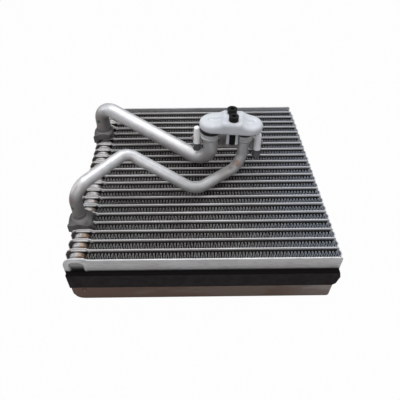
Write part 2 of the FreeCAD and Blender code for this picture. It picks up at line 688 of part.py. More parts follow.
def main():
    os.makedirs("parts", exist_ok=True)
    for index in range(1, TUBE_COUNT + 1):
        save(tube(index), "tube_%02d" % index)
    for index in range(TUBE_COUNT + 1):
        save(fin(index), "fin_%02d" % (index + 1))
    save(end_plate(0, 1), "front_end_plate")
    save(end_plate(STACK_PITCHES, -1), "rear_end_plate")
    save(foam_strip(), "foam_strip")

    points, radii = suction_route()
    save(refrigerant_pipe(points, radii, SUCTION_OUTER, SUCTION_WALL), "suction_pipe")
    save(saddle_collar(points[0], SUCTION_OUTER), "suction_collar")
    points, radii = liquid_route()
    save(refrigerant_pipe(points, radii, LIQUID_OUTER, LIQUID_WALL), "liquid_pipe")
    save(saddle_collar(points[0], LIQUID_OUTER), "liquid_collar")

    save(retaining_plate(), "retaining_plate")
    save(seal_ring(-1, SUCTION_OUTER), "suction_seal_ring")
    save(seal_ring(1, LIQUID_OUTER), "liquid_seal_ring")
    save(shipping_cap(), "shipping_cap")
    save(cap_screw(-1), "front_cap_screw")
    save(cap_screw(1), "rear_cap_screw")
    save(end_stud(-1), "left_stud")
    save(end_stud(1), "right_stud")
    save(thread_protector(-1), "left_thread_protector")
    save(thread_protector(1), "right_thread_protector")


main()
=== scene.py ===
import math

import bmesh
import bpy
from mathutils import Matrix, Vector, noise


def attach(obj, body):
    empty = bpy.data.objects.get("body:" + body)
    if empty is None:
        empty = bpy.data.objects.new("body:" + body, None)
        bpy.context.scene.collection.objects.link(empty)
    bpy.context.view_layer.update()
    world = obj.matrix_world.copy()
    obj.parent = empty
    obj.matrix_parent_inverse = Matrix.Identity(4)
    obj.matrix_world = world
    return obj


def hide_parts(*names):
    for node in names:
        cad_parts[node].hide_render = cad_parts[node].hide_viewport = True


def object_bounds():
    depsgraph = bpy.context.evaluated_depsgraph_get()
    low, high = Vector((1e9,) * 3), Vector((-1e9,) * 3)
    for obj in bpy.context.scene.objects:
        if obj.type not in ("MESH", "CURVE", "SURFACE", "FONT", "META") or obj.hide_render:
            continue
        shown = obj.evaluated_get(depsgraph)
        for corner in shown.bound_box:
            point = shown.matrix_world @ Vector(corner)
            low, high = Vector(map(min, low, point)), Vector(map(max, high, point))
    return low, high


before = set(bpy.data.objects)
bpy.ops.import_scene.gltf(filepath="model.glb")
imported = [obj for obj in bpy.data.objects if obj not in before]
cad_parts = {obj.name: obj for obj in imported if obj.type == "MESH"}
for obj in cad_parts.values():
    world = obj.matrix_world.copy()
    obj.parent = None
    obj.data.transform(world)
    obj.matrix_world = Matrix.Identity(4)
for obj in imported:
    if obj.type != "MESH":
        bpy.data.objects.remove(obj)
cad_low, cad_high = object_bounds()

MM = 0.001

# Camera, fitted to the plate edges of the photograph. Lengths in millimetres.
CAMERA_PLACE = (-9.35, -334.49, 335.15)
CAMERA_PITCH = 44.18
CAMERA_YAW = 0.273
CAMERA_ROLL = -0.428
FOCAL_PIXELS = 389.99
IMAGE_SIDE = 400
PRINCIPAL_X = 192.5
SENSOR = 36.0

# Core
CORE_LENGTH = 248.0
CORE_DEPTH = 60.0
TUBE_COUNT = 21
TUBE_PITCH = 11.4
SHEET = 0.6
TUBE_THICKNESS = 3.2
END_PLATE_THICKNESS = 1.6
RIM_HEIGHT = 1.8
SHOULDER_HEIGHT = 1.2
RIM_CORNER_RADIUS = 10.0
TURN_CORNER_RADIUS = 2.5
LAND_RISE = 2.0
LAND_LENGTH = 20.0
LAND_SLOPE = 2.4
LAND_RIM = 0.8
CUP_WIDTH = 15.0
CUP_HEIGHT = 25.0
CUP_CORNER_RADIUS = 6.5
CUP_INSET_X = 11.9
CUP_INSET_Z = 14.5
CUP_DISH_DEPTH = 1.6
CUP_DISH_RIM = 1.3
CUP_DIMPLE_RADIUS = 2.5
DISH_RING_RISE = 0.55
FIN_RECESS = 3.4
FIN_TANK_MARGIN = 0.8
FIN_TURN_MARGIN = 1.4
FIN_LEGS = 146
FIN_SHEET = 0.22
FIN_BEND = 0.55
FIN_CREST = 0.12
LIP_REACH = 6.4
LIP_OUTWARD = 1.9
LIP_EDGE_MARGIN = 4.0
LIP_SHEET = 0.9
LIP_STEPS = 9

X_TANK = -CORE_LENGTH / 2
X_TURN = CORE_LENGTH / 2
STACK_PITCHES = TUBE_COUNT + 1
Y_FRONT = -STACK_PITCHES * TUBE_PITCH / 2
LAND_END = X_TANK + LAND_LENGTH
LAND_TOP = CORE_DEPTH + LAND_RISE
CUP_X = X_TANK + CUP_INSET_X
CUP_HEIGHTS = (CUP_INSET_Z, CORE_DEPTH - CUP_INSET_Z)

# Studio
FLOOR_COLOUR = (0.30, 0.28, 0.27)
FLOOR_GAP = 0.2
FLOOR_HALF_SIDE = 3.0
SKY_STOPS = [
    (0.3, (0.10, 0.09, 0.085)),
    (0.52, (0.16, 0.155, 0.15)),
    (0.75, (0.30, 0.305, 0.32)),
    (1.0, (0.5, 0.51, 0.53)),
]

# Tints: (middle in millimetres, inner and outer radius, colour, share)
BROWN = (0.26, 0.20, 0.165)
UMBER = (0.23, 0.155, 0.115)
GREEN = (0.01, 0.10, 0.07)
# Painted brown reflection and shade for the front end plate's lower part.
PAINTED_REFLECTION_SHADE = (0.23, 0.175, 0.145)
RUST = (0.17, 0.095, 0.065)
SUCTION_MARKS = [
    ((-116.1, 55.4, 85.1), 1.6, 3.2, GREEN, 0.95),
    ((-116.0, 61.0, 80.0), 4.0, 16.0, BROWN, 0.3),
    ((11.5, 2.6, 78.0), 8.0, 26.0, BROWN, 0.25),
]
COLLAR_TOPS = [(-113.4, -84.0, 73.0), (-111.8, 56.5, 73.0)]
LIQUID_MARKS = [
    ((-116.9, -85.5, 84.1), 1.2, 2.6, GREEN, 0.9),
    ((-119.5, -83.0, 93.0), 3.0, 11.0, UMBER, 0.5),
    ((-108.5, -78.5, 104.0), 3.0, 11.0, BROWN, 0.45),
    ((-67.5, -40.0, 102.5), 1.5, 8.0, BROWN, 0.7),
    ((39.5, -11.0, 75.0), 3.0, 9.0, UMBER, 0.9),
    ((33.5, -17.0, 73.5), 1.5, 6.5, UMBER, 0.6),
    ((24.0, -26.0, 70.0), 4.0, 16.0, BROWN, 0.4),
]

# Cap
CAP_HUB_RISE = 5.0
CAP_HUB_HALF = 6.0
CAP_HUB_SLOPE = 8.0
CAP_SOFT_START = 2.5
CAP_SOFT_END = 19.0
CAP_SOFT_ROUNDS = 16
CAP_OFFSET = 2.8
CAP_DISH_OFFSET = 15.0
CAP_DISH_LENGTH = 10.5
CAP_DISH_WIDTH = 4.6
CAP_DISH_DEPTH = 1.7
CAP_GRAIN = 0.45
PORT_TURN = -7.5

# Foam strip
FOAM_THICKNESS = 5.0
FOAM_HEIGHT = 20.0
FOAM_BOTTOM = 24.8
FOAM_START = 1.5
FOAM_END_OVERHANG = 1.2
FOAM_TOP_TAPER = 1.8
FOAM_LOW_TAPER = 6.0
FOAM_SOFT = 1.1
FOAM_STATIONS = 150
FOAM_DENT = 0.3
FOAM_SAG = 0.35


def stack_y(index):
    """Y of a station in the stack, in millimetres: 0 is the front end plate."""
    return Y_FRONT + index * TUBE_PITCH


def smooth(edge_a, edge_b, value):
    """Smooth step from 0 at edge_a to 1 at edge_b."""
    t = (value - edge_a) / (edge_b - edge_a)
    t = max(0.0, min(1.0, t))
    return t * t * (3 - 2 * t)


# Materials


def new_material(name):
    """Material with an empty Principled surface, its nodes and its links."""
    material = bpy.data.materials.new(name)
    material.use_nodes = True
    nodes = material.node_tree.nodes
    links = material.node_tree.links
    surface = nodes["Principled BSDF"]
    return material, nodes, links, surface


def add_noise(nodes, links, scale, detail, stretch=(1, 1, 1)):
    """Noise over the object's own coordinates, stretched by direction."""
    coords = nodes.new("ShaderNodeTexCoord")
    mapping = nodes.new("ShaderNodeMapping")
    mapping.inputs["Scale"].default_value = stretch
    texture = nodes.new("ShaderNodeTexNoise")
    texture.inputs["Scale"].default_value = scale
    texture.inputs["Detail"].default_value = detail
    links.new(coords.outputs["Object"], mapping.inputs["Vector"])
    links.new(mapping.outputs["Vector"], texture.inputs["Vector"])
    return texture.outputs["Fac"]


def add_ramp(nodes, links, factor, stops):
    """Colour ramp with the given (place, colour) stops."""
    ramp = nodes.new("ShaderNodeValToRGB")
    elements = ramp.color_ramp.elements
    while len(elements) < len(stops):
        elements.new(0.5)
    for element, (place, colour) in zip(elements, stops):
        element.position = place
        element.color = (*colour, 1)
    links.new(factor, ramp.inputs["Fac"])
    return ramp.outputs["Color"]


def add_bump(nodes, links, surface, height, strength, distance):
    bump = nodes.new("ShaderNodeBump")
    bump.inputs["Strength"].default_value = strength
    bump.inputs["Distance"].default_value = distance
    links.new(height, bump.inputs["Height"])
    links.new(bump.outputs["Normal"], surface.inputs["Normal"])


def add_math(nodes, links, operation, a, b):
    """Math node over two values, each a socket or a number, clamped to 0..1."""
    node = nodes.new("ShaderNodeMath")
    node.operation = operation
    node.use_clamp = True
    for socket, value in zip(node.inputs, (a, b)):
        if isinstance(value, (int, float)):
            socket.default_value = value
        else:
            links.new(value, socket)
    return node.outputs[0]


def add_fade(nodes, links, value, start, end):
    """1 before start, falling smoothly to 0 at end."""
    fade = nodes.new("ShaderNodeMapRange")
    fade.interpolation_type = "SMOOTHSTEP"
    fade.inputs["From Min"].default_value = start
    fade.inputs["From Max"].default_value = end
    fade.inputs["To Min"].default_value = 1
    fade.inputs["To Max"].default_value = 0
    links.new(value, fade.inputs["Value"])
    return fade.outputs["Result"]


def add_axis(nodes, links, axis):
    """One of the object's own coordinates, in metres."""
    coords = nodes.new("ShaderNodeTexCoord")
    split = nodes.new("ShaderNodeSeparateXYZ")
    links.new(coords.outputs["Object"], split.inputs["Vector"])
    return split.outputs[axis]


def add_spot(nodes, links, centre, inner, outer, rough=0.0):
    """Round spot about a point in millimetres, with an uneven edge."""
    coords = nodes.new("ShaderNodeTexCoord")
    distance = nodes.new("ShaderNodeVectorMath")
    distance.operation = "DISTANCE"
    distance.inputs[1].default_value = [value * MM for value in centre]
    links.new(coords.outputs["Object"], distance.inputs[0])
    reach = distance.outputs["Value"]
    if rough:
        noise_value = add_noise(nodes, links, 420, 3)
        wobble = nodes.new("ShaderNodeMath")
        wobble.operation = "MULTIPLY_ADD"
        links.new(noise_value, wobble.inputs[0])
        wobble.inputs[1].default_value = rough * MM
        links.new(reach, wobble.inputs[2])
        reach = wobble.outputs[0]
    return add_fade(nodes, links, reach, inner * MM, outer * MM)


def add_tint(nodes, links, below, factor, colour):
    """Lay a colour over another by a factor."""
    mix = nodes.new("ShaderNodeMix")
    mix.data_type = "RGBA"
    links.new(factor, mix.inputs["Factor"])
    links.new(below, mix.inputs["A"])
    mix.inputs["B"].default_value = (*colour, 1)
    return mix.outputs["Result"]


def metal(name, dark, light, rough_low, rough_high, grain, stretch, bump, metallic, specular=0.5):
    """Satin metal with cloudy tone, brushed grain in its roughness and a fine bump."""
    material, nodes, links, surface = new_material(name)
    cloud = add_noise(nodes, links, grain * 0.25, 4, stretch)
    tone = add_ramp(nodes, links, cloud, [(0.3, dark), (0.72, light)])
    links.new(tone, surface.inputs["Base Color"])
    fine = add_noise(nodes, links, grain, 8, stretch)
    rough = nodes.new("ShaderNodeMapRange")
    rough.inputs["To Min"].default_value = rough_low
    rough.inputs["To Max"].default_value = rough_high
    links.new(fine, rough.inputs["Value"])
    links.new(rough.outputs["Result"], surface.inputs["Roughness"])
    surface.inputs["Metallic"].default_value = metallic
    surface.inputs["Specular IOR Level"].default_value = specular
    add_bump(nodes, links, surface, fine, bump, 0.0003)
    return material


def tinted(material):
    """The nodes, links, surface and present base colour of a material, to lay tints over."""
    nodes = material.node_tree.nodes
    links = material.node_tree.links
    surface = nodes["Principled BSDF"]
    return nodes, links, surface, surface.inputs["Base Color"].links[0].from_socket


def plastic(name, dark, light, roughness, grain, bump):
    """Moulded plastic or rubber with a faint mottle and a fine skin."""
    material, nodes, links, surface = new_material(name)
    cloud = add_noise(nodes, links, grain * 0.1, 3)
    tone = add_ramp(nodes, links, cloud, [(0.35, dark), (0.7, light)])
    links.new(tone, surface.inputs["Base Color"])
    surface.inputs["Roughness"].default_value = roughness
    fine = add_noise(nodes, links, grain, 6)
    add_bump(nodes, links, surface, fine, bump, 0.0003)
    return material


def pipe_metal(name, marks):
    """Drawn tube with brownish spots on its bends and a green mark of paint, and painted shade low down and
    on the risers at the tank end.
    """
    material = metal(name, (0.62, 0.625, 0.64), (0.75, 0.755, 0.77), 0.42, 0.56, 600, (1, 1, 1), 0.08, 0.65)
    nodes, links, surface, tone = tinted(material)
    # Painted shade: darker grey-brown below 70 mm, fading out by 98 mm.
    low = add_fade(nodes, links, add_axis(nodes, links, "Z"), 0.070, 0.098)
    tone = add_tint(nodes, links, tone, add_math(nodes, links, "MULTIPLY", low, 0.45), (0.30, 0.285, 0.28))
    # Painted shade: darker on the risers at the tank end, below 90 mm, fading out by 106 mm.
    rise = add_fade(nodes, links, add_axis(nodes, links, "Z"), 0.090, 0.106)
    tank = add_fade(nodes, links, add_axis(nodes, links, "X"), -0.108, -0.096)
    rise = add_math(nodes, links, "MULTIPLY", rise, tank)
    tone = add_tint(nodes, links, tone, add_math(nodes, links, "MULTIPLY", rise, 0.8), (0.21, 0.195, 0.19))
    for centre, inner, outer, colour, share in marks:
        spot = add_spot(nodes, links, centre, inner, outer, (outer - inner) * 0.6)
        tone = add_tint(nodes, links, tone, add_math(nodes, links, "MULTIPLY", spot, share), colour)
    links.new(tone, surface.inputs["Base Color"])
    return material


def tube_metal():
    """Rims of the brazed plates: silver, with brownish flux in patches, bluish to the turn end."""
    material = metal(
        "tube_plates", (0.57, 0.57, 0.57), (0.73, 0.73, 0.74), 0.4, 0.6, 900, (0.2, 1, 1), 0.12, 0.3)
    nodes, links, surface, tone = tinted(material)
    haze = add_noise(nodes, links, 26, 3, (0.5, 1, 1))
    patch = add_math(nodes, links, "SUBTRACT", 1.0, add_fade(nodes, links, haze, 0.62, 0.5))
    tone = add_tint(nodes, links, tone, add_math(nodes, links, "MULTIPLY", patch, 0.3), (0.42, 0.37, 0.34))
    turn = add_fade(nodes, links, add_axis(nodes, links, "X"), 0.12, 0.02)
    tone = add_tint(nodes, links, tone, add_math(nodes, links, "MULTIPLY", turn, 0.6), (0.64, 0.67, 0.73))
    links.new(tone, surface.inputs["Base Color"])
    return material


def painted_shade_walls():
    """Painted shade: near-black walls of the plates below their rims, a little paler at the tank end."""
    material = metal(
        "tube_walls", (0.008, 0.0065, 0.006), (0.018, 0.015, 0.013), 0.6, 0.8, 500, (0.3, 1, 1),
        0.15, 0.0, 0.2)
    nodes, links, surface, tone = tinted(material)
    tank = add_fade(nodes, links, add_axis(nodes, links, "X"), (X_TANK + 8) * MM, (X_TANK + 14) * MM)
    tone = add_tint(nodes, links, tone, tank, (0.055, 0.05, 0.047))
    links.new(tone, surface.inputs["Base Color"])
    return material


def cup_metal():
    """Drawn cups: silver towards the tank edge and brown with flux towards the fins."""
    material = metal("cups", (0.34, 0.34, 0.345), (0.56, 0.56, 0.57), 0.34, 0.5, 700, (1, 1, 1), 0.12, 0.7)
    nodes, links, surface, tone = tinted(material)
    inner = add_fade(nodes, links, add_axis(nodes, links, "X"), (CUP_X - 3.0) * MM, (CUP_X + 2.5) * MM)
    inner = add_math(nodes, links, "SUBTRACT", 1.0, inner)
    front = add_fade(nodes, links, add_axis(nodes, links, "Y"), -0.085, -0.030)
    share = add_math(nodes, links, "ADD", add_math(nodes, links, "MULTIPLY", front, 0.6), 0.2)
    tone = add_tint(nodes, links, tone, add_math(nodes, links, "MULTIPLY", inner, share), (0.20, 0.115, 0.06))
    links.new(tone, surface.inputs["Base Color"])
    return material


def end_metal():
    """Scratched closing plate with painted shade in its dish; the front one has painted shade above its foam,
    and low down a painted brown reflection and shade with rust mottle in it.
    """
    material = metal(
        "end_plates", (0.68, 0.685, 0.695), (0.83, 0.84, 0.855), 0.38, 0.58, 500, (0.25, 1, 1), 0.15, 0.5)
    nodes, links, surface, tone = tinted(material)
    height = add_axis(nodes, links, "Z")
    scratch = add_fade(nodes, links, add_noise(nodes, links, 1100, 2, (0.1, 1, 1)), 0.36, 0.44)
    tone = add_tint(nodes, links, tone, add_math(nodes, links, "MULTIPLY", scratch, 0.4), (0.34, 0.32, 0.31))
    # Painted shade: the recessed dish of both end plates is darkened.
    from_middle = nodes.new("ShaderNodeMath")
    from_middle.operation = "ABSOLUTE"
    links.new(add_axis(nodes, links, "Y"), from_middle.inputs[0])
    outer = -Y_FRONT * MM
    dish = add_fade(nodes, links, from_middle.outputs[0], outer - 0.0012, outer + 0.0002)
    tone = add_tint(nodes, links, tone, add_math(nodes, links, "MULTIPLY", dish, 0.4), (0.12, 0.115, 0.115))
    front = add_fade(nodes, links, add_axis(nodes, links, "Y"), -0.01, 0.01)
    # Painted shadow: near black low in the front plate's dish, above its foam.
    dish_painted_shadow = add_math(nodes, links, "MULTIPLY", dish, add_fade(nodes, links, height, 0.046, 0.052))
    dish_painted_shadow = add_math(nodes, links, "MULTIPLY", dish_painted_shadow, front)
    tone = add_tint(nodes, links, tone, dish_painted_shadow, (0.01, 0.008, 0.008))
    # Painted shade: a dark band on the front plate just above its foam.
    foam_top = FOAM_BOTTOM + FOAM_HEIGHT
    shaded = add_fade(nodes, links, height, (foam_top + 0.4) * MM, (foam_top + 2.2) * MM)
    shaded = add_math(nodes, links, "SUBTRACT", shaded, add_fade(nodes, links, height, 0.040, 0.042))
    shaded = add_math(nodes, links, "MULTIPLY", shaded, front)
    tone = add_tint(nodes, links, tone, add_math(nodes, links, "MULTIPLY", shaded, 0.8), (0.03, 0.02, 0.018))
    # Painted reflection and shade: brown over the front plate below 22 to 40 mm, weaker towards the right
    # end; rust mottle is laid inside it.
    low = add_math(nodes, links, "MULTIPLY", add_fade(nodes, links, height, 0.022, 0.040), front)
    right = add_fade(nodes, links, add_axis(nodes, links, "X"), 0.115, 0.06)
    low = add_math(nodes, links, "SUBTRACT", low, add_math(nodes, links, "MULTIPLY", right, 0.3))
    tone = add_tint(nodes, links, tone, low, PAINTED_REFLECTION_SHADE)
    rust = add_fade(nodes, links, add_noise(nodes, links, 30, 4, (0.4, 1, 1.5)), 0.5, 0.6)
    rust = add_math(nodes, links, "MULTIPLY", add_math(nodes, links, "MULTIPLY", rust, low), 0.6)
    tone = add_tint(nodes, links, tone, rust, RUST)
    links.new(tone, surface.inputs["Base Color"])
    return material


def fin_metal():
    """Thin fin sheet: bright cut edges, painted shade below them, bluish to the turn end, brownish in
    patches.
    """
    material = metal("fins", (0.36, 0.355, 0.36), (0.58, 0.575, 0.58), 0.4, 0.6, 700, (1, 1, 0.3), 0.1, 0.5)
    nodes, links, surface, tone = tinted(material)
    haze = add_noise(nodes, links, 18, 2)
    brown = add_math(nodes, links, "MULTIPLY", add_fade(nodes, links, haze, 0.5, 0.62), 0.35)
    tone = add_tint(nodes, links, tone, brown, (0.30, 0.25, 0.22))
    turn = add_fade(nodes, links, add_axis(nodes, links, "X"), 0.12, 0.02)
    tone = add_tint(nodes, links, tone, add_math(nodes, links, "MULTIPLY", turn, 0.8), (0.52, 0.58, 0.68))
    # Painted shade: the fins go near black below the top 1.2 mm of their edge.
    edge = (CORE_DEPTH - FIN_RECESS) * MM
    deep = add_fade(nodes, links, add_axis(nodes, links, "Z"), edge - 0.0012, edge - 0.0001)
    tone = add_tint(nodes, links, tone, add_math(nodes, links, "MULTIPLY", deep, 0.95), (0.012, 0.012, 0.013))
    links.new(tone, surface.inputs["Base Color"])
    return material


def collar_metal():
    """Dull saddle collars, paler where the pipe's end is brazed into their tops."""
    material = metal(
        "collars", (0.075, 0.07, 0.07), (0.19, 0.185, 0.185), 0.5, 0.7, 500, (1, 1, 1), 0.25, 0.5)
    nodes, links, surface, tone = tinted(material)
    for centre in COLLAR_TOPS:
        spot = add_spot(nodes, links, centre, 6.0, 10.5, 1.5)
        share = add_math(nodes, links, "MULTIPLY", spot, 0.45)
        tone = add_tint(nodes, links, tone, share, (0.32, 0.31, 0.315))
    links.new(tone, surface.inputs["Base Color"])
    return material


def foam_skin():
    """Black foam, with painted shade making its upper edge darkest."""
    material = plastic("foam", (0.020, 0.0165, 0.0175), (0.031, 0.027, 0.0285), 0.95, 1500, 0.6)
    nodes, links, surface, tone = tinted(material)
    # Painted shade: near black over the strip's top face and upper edge.
    top = (FOAM_BOTTOM + FOAM_HEIGHT) * MM
    upper = add_fade(nodes, links, add_axis(nodes, links, "Z"), top - 0.0016, top - 0.0004)
    upper = add_math(nodes, links, "SUBTRACT", 1.0, upper)
    tone = add_tint(nodes, links, tone, upper, (0.002, 0.001, 0.001))
    links.new(tone, surface.inputs["Base Color"])
    surface.inputs["Specular IOR Level"].default_value = 0.2
    return material


def make_materials():
    return {
        "tube": tube_metal(),
        "wall": painted_shade_walls(),
        "cup": cup_metal(),
        "fin": fin_metal(),
        "end": end_metal(),
        "suction": pipe_metal("suction_pipe", SUCTION_MARKS),
        "liquid": pipe_metal("liquid_pipe", LIQUID_MARKS),
        "collar": collar_metal(),
        "plate": metal(
            "retaining_plate", (0.16, 0.14, 0.13), (0.30, 0.28, 0.27), 0.4, 0.6, 700, (1, 0.3, 1),
            0.15, 0.6),
        "stud": metal(
            "studs", (0.10, 0.105, 0.11), (0.22, 0.225, 0.235), 0.4, 0.55, 900, (1, 1, 1), 0.15, 0.6),
        "screw": metal(
            "screws", (0.004, 0.004, 0.0045), (0.009, 0.009, 0.0095), 0.5, 0.65, 900, (1, 1, 1),
            0.15, 0.0, 0.2),
        "seal": plastic("seals", (0.006, 0.006, 0.006), (0.014, 0.014, 0.014), 0.5, 900, 0.1),
        "cap": plastic("cap", (0.58, 0.60, 0.64), (0.66, 0.68, 0.72), 0.42, 700, 0.06),
        "protector": plastic("protectors", (0.94, 0.95, 0.98), (0.98, 0.99, 1.0), 0.45, 700, 0.08),
        "foam": foam_skin(),
    }


# Mesh helpers


def new_piece(name, bm, materials, shade_angle=35.0):
    """Object from a bmesh whose coordinates are in millimetres."""
    bmesh.ops.scale(bm, vec=(MM, MM, MM), verts=bm.verts)
    bmesh.ops.recalc_face_normals(bm, faces=bm.faces)
    mesh = bpy.data.meshes.new(name)
    bm.to_mesh(mesh)
    bm.free()
    for material in materials:
        mesh.materials.append(material)
    mesh.shade_smooth()
    mesh.set_sharp_from_angle(angle=math.radians(shade_angle))
    piece = bpy.data.objects.new(name, mesh)
    bpy.context.scene.collection.objects.link(piece)
    return piece


def settle(piece, slot, *nodes):
    """Every new piece rides on the one body and stands for its CAD nodes."""
    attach(piece, "root")
    if nodes:
        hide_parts(*nodes)


def add_ribbon(bm, path, thickness, low, high):
    """Closed thin sheet that follows an open path of (x, y) points, upright from low to high."""
    count = len(path)
    offsets = []
    for i, (x, y) in enumerate(path):
        before = path[max(i - 1, 0)]
        after = path[min(i + 1, count - 1)]
        dx = after[0] - before[0]
        dy = after[1] - before[1]
        length = math.hypot(dx, dy)
        offsets.append((-dy / length * thickness / 2, dx / length * thickness / 2))
    rings = []
    for (x, y), (ox, oy) in zip(path, offsets):
        rings.append([
            bm.verts.new((x + ox, y + oy, low)),
            bm.verts.new((x - ox, y - oy, low)),
            bm.verts.new((x - ox, y - oy, high)),
            bm.verts.new((x + ox, y + oy, high)),
        ])
    for a, b in zip(rings, rings[1:]):
        for k in range(4):
            n = (k + 1) % 4
            bm.faces.new((a[k], a[n], b[n], b[k]))
    bm.faces.new(rings[0])
    bm.faces.new(rings[-1][::-1])


# Plates of the stack

RIM_STEPS = (0.0, 0.25, 0.7, 1.0, 1.4, 1.8, 2.2, 2.6, 3.0, 3.4)
LAND_STOPS = (0.0, 0.3, 0.8, 1.2, 1.7, 2.6, 4, 6, 8, 10, 12, 14, 16, 18, 20, 21.2, 22.4, 23.6, 25, 30)
TURN_STOPS = (2.9, 2.4, 1.9, 1.3, 0.7, 0.3, 0.0)
SPAN_STEP = 21.0
CORNER_STEPS = 8


def land_share(x):
    """1 on the raised land at the tank end, 0 past its slope."""
    return max(0.0, min(1.0, (LAND_END + LAND_SLOPE - x) / LAND_SLOPE))


def top_edge(x):
    return CORE_DEPTH + LAND_RISE * land_share(x)


def corner_setback(radius, depth):
    """How far a round corner pulls the outline in, at a depth from the neighbouring edge."""
    if depth >= radius:
        return 0.0
    return radius - math.sqrt(radius * radius - (radius - depth) ** 2)


def edge_distance(x, z):
    """Distance inside the plate's outline."""
    depth = min(z, top_edge(x) - z)
    nearest = min(depth, x - X_TANK, X_TURN - x)
    for radius, from_end in ((RIM_CORNER_RADIUS, x - X_TANK), (TURN_CORNER_RADIUS, X_TURN - x)):
        if depth < radius and from_end < radius:
            nearest = radius - math.hypot(radius - from_end, radius - depth)
    return max(0.0, nearest)


def plate_columns(extra=()):
    """Distances from the tank end, close together where the form changes."""
    stops = set(LAND_STOPS) | set(extra)
    stops |= {CORE_LENGTH - stop for stop in TURN_STOPS}
    count = int((CORE_LENGTH - LAND_STOPS[-1]) / SPAN_STEP)
    stops |= {LAND_STOPS[-1] + k * SPAN_STEP for k in range(1, count)}
    return sorted(stops)


def plate_rows(extra=()):
    """Heights as (share of the upper edge, offset), close together at both rims."""
    rows = [(0.0, step) for step in RIM_STEPS]
    rows += [(1.0, -step) for step in RIM_STEPS]
    last = RIM_STEPS[-1]
    rows += [(k / 12, last - 2 * last * k / 12) for k in range(1, 12)]
    rows += [(height / CORE_DEPTH, 0.0) for height in extra]
    return sorted(rows, key=lambda row: row[0] * CORE_DEPTH + row[1])


def add_pressed_pair(bm, offsets, columns, rows):
    """Two sheets that meet at the rim. offsets are the two functions of (x, z) that give their Y."""
    sides = []
    for offset in offsets:
        grid = []
        for share, shift in rows:
            tank_z = share * LAND_TOP + shift
            turn_z = share * CORE_DEPTH + shift
            start = X_TANK + corner_setback(RIM_CORNER_RADIUS, min(tank_z, LAND_TOP - tank_z))
            end = X_TURN - corner_setback(TURN_CORNER_RADIUS, min(turn_z, CORE_DEPTH - turn_z))
            line = []
            for stop in columns:
                x = start + stop / CORE_LENGTH * (end - start)
                z = share * top_edge(x) + shift
                line.append(bm.verts.new((x, offset(x, z), z)))
            grid.append(line)
        sides.append(grid)
    front, back = sides
    for grid in sides:
        for a, b in zip(grid, grid[1:]):
            for k in range(len(columns) - 1):
                bm.faces.new((a[k], a[k + 1], b[k + 1], b[k]))
    last = len(columns) - 1
    for k in range(last):
        for row in (0, -1):
            bm.faces.new((front[row][k], front[row][k + 1], back[row][k + 1], back[row][k]))
    for k in range(len(rows) - 1):
        for column in (0, last):
            bm.faces.new((front[k][column], front[k + 1][column], back[k + 1][column], back[k][column]))


def tube_half_height(x, z):
    inset = edge_distance(x, z)
    land = smooth(0.0, 1.0, land_share(x))
    rim = RIM_HEIGHT + (LAND_RIM - RIM_HEIGHT) * land
    shoulder = SHOULDER_HEIGHT * (1 - 0.4 * land)
    raised = smooth(rim, rim + shoulder, inset)
    rounded = SHEET * (0.55 + 0.45 * smooth(0.0, 0.3, inset))
    return rounded + (TUBE_THICKNESS / 2 - SHEET) * raised


def cup_outline(offset):
    """Points of a cup's rounded outline in X and Z about its middle, moved outward by an offset."""
    half_width = CUP_WIDTH / 2 + offset
    half_height = CUP_HEIGHT / 2 + offset
    radius = max(0.5, CUP_CORNER_RADIUS + offset)
    points = []
    for quarter, (sx, sz) in enumerate(((1, 1), (-1, 1), (-1, -1), (1, -1))):
        for k in range(CORNER_STEPS + 1):
            angle = math.pi / 2 * (quarter + k / CORNER_STEPS)
            points.append((
                sx * (half_width - radius) + radius * math.cos(angle),
                sz * (half_height - radius) + radius * math.sin(angle),
            ))
    return points


def add_cup(bm, profile, y, z, side):
    """Drawn cup from (outward offset, depth) points, closed at its deep end."""
    rings = []
    for offset, depth in profile:
        ring = [bm.verts.new((CUP_X + dx, y + side * depth, z + dz)) for dx, dz in cup_outline(offset)]
        rings.append(ring)
    for a, b in zip(rings, rings[1:]):
        for k in range(len(a)):
            n = (k + 1) % len(a)
            bm.faces.new((a[k], a[n], b[n], b[k]))
    bm.faces.new(rings[-1])


def cup_profile(base):
    """Drawn cup from inside the sheet to the brazed face halfway to the next plate."""
    top = TUBE_PITCH / 2
    return [
        (1.1, base - 0.4), (0.6, base + 0.1), (0.2, base + 0.5), (0, base + 1.0),
        (0, top - 0.9), (-0.15, top - 0.45), (-0.5, top - 0.12), (-1.0, top),
    ]


def cup_inset(x, z, middle):
    """Signed distance inside a cup's rounded outline whose middle is at a height."""
    dx = abs(x - CUP_X) - (CUP_WIDTH / 2 - CUP_CORNER_RADIUS)
    dz = abs(z - middle) - (CUP_HEIGHT / 2 - CUP_CORNER_RADIUS)
    outside = math.hypot(max(dx, 0.0), max(dz, 0.0)) + min(max(dx, dz), 0.0)
    return CUP_CORNER_RADIUS - outside


def lip_path(y):
    points = []
    for k in range(LIP_STEPS + 1):
        t = math.pi * k / LIP_STEPS
        x = X_TURN - LIP_SHEET / 2 + LIP_OUTWARD * math.sin(t)
        points.append((x, y - LIP_REACH / 2 + LIP_REACH / 2 * math.cos(t)))
    return points


def mark_plate_faces(bm, y, half):
    """Second material, painted shade, for the plates' walls below their rims; third for the cups."""
    for face in bm.faces:
        middle = face.calc_center_median()
        if middle.x > X_TURN - LIP_SHEET:
            continue
        if abs(middle.y - y) > half + 0.02:
            face.material_index = 2
            continue
        rim = LAND_RIM if land_share(middle.x) > 0.5 else RIM_HEIGHT
        reach = rim + 1.6 * smooth(X_TANK + 3, X_TANK + 9, middle.x)
        land_wall = middle.x < LAND_END and top_edge(middle.x) - middle.z < reach
        if edge_distance(middle.x, middle.z) > rim and not land_wall:
            face.material_index = 1


